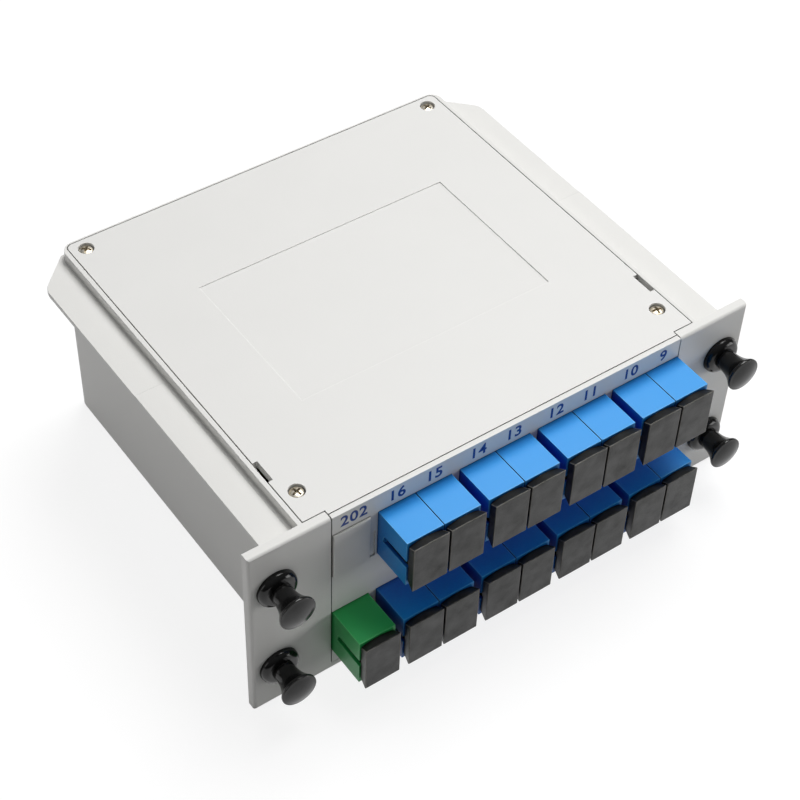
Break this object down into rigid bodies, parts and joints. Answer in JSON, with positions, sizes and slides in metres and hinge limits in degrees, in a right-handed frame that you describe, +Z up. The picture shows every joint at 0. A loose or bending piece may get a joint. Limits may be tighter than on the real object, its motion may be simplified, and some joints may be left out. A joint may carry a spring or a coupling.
{
  "type": "plc fibre splitter",
  "caption": "Plug-in fibre splitter cassette: a flat box with a screwed cover, push-pull latches on its ears and rows of capped fibre adapters across its front.",
  "frame": {"origin": "centre of the tray's underside", "axes": "+Z up through the cover, +Y the way the cassette is pushed into its rack, +X to the right seen from the adapters"},
  "size_m": [0.13, 0.1123, 0.05],
  "materials": {
    "blue_adapter": "satin sky blue",
    "blue_connector": "satin blue",
    "cap_plastic": "satin dark grey-black",
    "clip_plastic": "natural plastic",
    "cover_plastic": "fine-textured warm off-white moulding",
    "fibre_jacket": "smooth jacket",
    "green_adapter": "satin green",
    "green_connector": "satin green",
    "latch_plastic": "gloss black",
    "module_metal": "brushed steel tube",
    "screw_metal": "plated steel",
    "sleeve_ceramic": "white zirconia",
    "tray_plastic": "fine-textured warm off-white moulding"
  },
  "bodies": {
    "tray": {"adapter_01": "blue_adapter", "adapter_02": "blue_adapter", "adapter_03": "blue_adapter", "adapter_04": "blue_adapter", "adapter_05": "blue_adapter", "adapter_06": "blue_adapter", "adapter_07": "blue_adapter", "adapter_08": "blue_adapter", "adapter_09": "blue_adapter", "adapter_10": "blue_adapter", "adapter_11": "blue_adapter", "adapter_12": "blue_adapter", "adapter_13": "blue_adapter", "adapter_14": "blue_adapter", "adapter_15": "blue_adapter", "adapter_16": "blue_adapter", "adapter_in": "green_adapter", "alignment_sleeves": "sleeve_ceramic", "blank_plate": "tray_plastic", "cover": "cover_plastic", "cover_screws": "screw_metal", "fibre_coil": "fibre_jacket", "front_panel": "tray_plastic", "housing": "tray_plastic", "input_connector": "green_connector", "latch_grommet_left_lower": "latch_plastic", "latch_grommet_left_upper": "latch_plastic", "latch_grommet_right_lower": "latch_plastic", "latch_grommet_right_upper": "latch_plastic", "module_clips": "clip_plastic", "output_connectors_lower": "blue_connector", "output_connectors_upper": "blue_connector", "splitter_module": "module_metal"},
    "cap_01": {"dust_cap_01": "cap_plastic"},
    "cap_02": {"dust_cap_02": "cap_plastic"},
    "cap_03": {"dust_cap_03": "cap_plastic"},
    "cap_04": {"dust_cap_04": "cap_plastic"},
    "cap_05": {"dust_cap_05": "cap_plastic"},
    "cap_06": {"dust_cap_06": "cap_plastic"},
    "cap_07": {"dust_cap_07": "cap_plastic"},
    "cap_08": {"dust_cap_08": "cap_plastic"},
    "cap_09": {"dust_cap_09": "cap_plastic"},
    "cap_10": {"dust_cap_10": "cap_plastic"},
    "cap_11": {"dust_cap_11": "cap_plastic"},
    "cap_12": {"dust_cap_12": "cap_plastic"},
    "cap_13": {"dust_cap_13": "cap_plastic"},
    "cap_14": {"dust_cap_14": "cap_plastic"},
    "cap_15": {"dust_cap_15": "cap_plastic"},
    "cap_16": {"dust_cap_16": "cap_plastic"},
    "cap_in": {"dust_cap_in": "cap_plastic"},
    "plunger_left_upper": {"latch_plunger_left_upper": "latch_plastic"},
    "plunger_left_lower": {"latch_plunger_left_lower": "latch_plastic"},
    "plunger_right_upper": {"latch_plunger_right_upper": "latch_plastic"},
    "plunger_right_lower": {"latch_plunger_right_lower": "latch_plastic"}
  },
  "joints": [
    {"name": "cap_01_pull", "type": "slide", "parent": "tray", "child": "cap_01", "axis": [0, -1, 0], "range_m": [0, 0.012]},
    {"name": "cap_02_pull", "type": "slide", "parent": "tray", "child": "cap_02", "axis": [0, -1, 0], "range_m": [0, 0.012]},
    {"name": "cap_03_pull", "type": "slide", "parent": "tray", "child": "cap_03", "axis": [0, -1, 0], "range_m": [0, 0.012]},
    {"name": "cap_04_pull", "type": "slide", "parent": "tray", "child": "cap_04", "axis": [0, -1, 0], "range_m": [0, 0.012]},
    {"name": "cap_05_pull", "type": "slide", "parent": "tray", "child": "cap_05", "axis": [0, -1, 0], "range_m": [0, 0.012]},
    {"name": "cap_06_pull", "type": "slide", "parent": "tray", "child": "cap_06", "axis": [0, -1, 0], "range_m": [0, 0.012]},
    {"name": "cap_07_pull", "type": "slide", "parent": "tray", "child": "cap_07", "axis": [0, -1, 0], "range_m": [0, 0.012]},
    {"name": "cap_08_pull", "type": "slide", "parent": "tray", "child": "cap_08", "axis": [0, -1, 0], "range_m": [0, 0.012]},
    {"name": "cap_09_pull", "type": "slide", "parent": "tray", "child": "cap_09", "axis": [0, -1, 0], "range_m": [0, 0.012]},
    {"name": "cap_10_pull", "type": "slide", "parent": "tray", "child": "cap_10", "axis": [0, -1, 0], "range_m": [0, 0.012]},
    {"name": "cap_11_pull", "type": "slide", "parent": "tray", "child": "cap_11", "axis": [0, -1, 0], "range_m": [0, 0.012]},
    {"name": "cap_12_pull", "type": "slide", "parent": "tray", "child": "cap_12", "axis": [0, -1, 0], "range_m": [0, 0.012]},
    {"name": "cap_13_pull", "type": "slide", "parent": "tray", "child": "cap_13", "axis": [0, -1, 0], "range_m": [0, 0.012]},
    {"name": "cap_14_pull", "type": "slide", "parent": "tray", "child": "cap_14", "axis": [0, -1, 0], "range_m": [0, 0.012]},
    {"name": "cap_15_pull", "type": "slide", "parent": "tray", "child": "cap_15", "axis": [0, -1, 0], "range_m": [0, 0.012]},
    {"name": "cap_16_pull", "type": "slide", "parent": "tray", "child": "cap_16", "axis": [0, -1, 0], "range_m": [0, 0.012]},
    {"name": "cap_in_pull", "type": "slide", "parent": "tray", "child": "cap_in", "axis": [0, -1, 0], "range_m": [0, 0.012]},
    {"name": "latch_left_upper_pull", "type": "slide", "parent": "tray", "child": "plunger_left_upper", "axis": [0, -1, 0], "range_m": [0, 0.004]},
    {"name": "latch_left_lower_pull", "type": "slide", "parent": "tray", "child": "plunger_left_lower", "axis": [0, -1, 0], "range_m": [0, 0.004]},
    {"name": "latch_right_upper_pull", "type": "slide", "parent": "tray", "child": "plunger_right_upper", "axis": [0, -1, 0], "range_m": [0, 0.004]},
    {"name": "latch_right_lower_pull", "type": "slide", "parent": "tray", "child": "plunger_right_lower", "axis": [0, -1, 0], "range_m": [0, 0.004]}
  ]
}
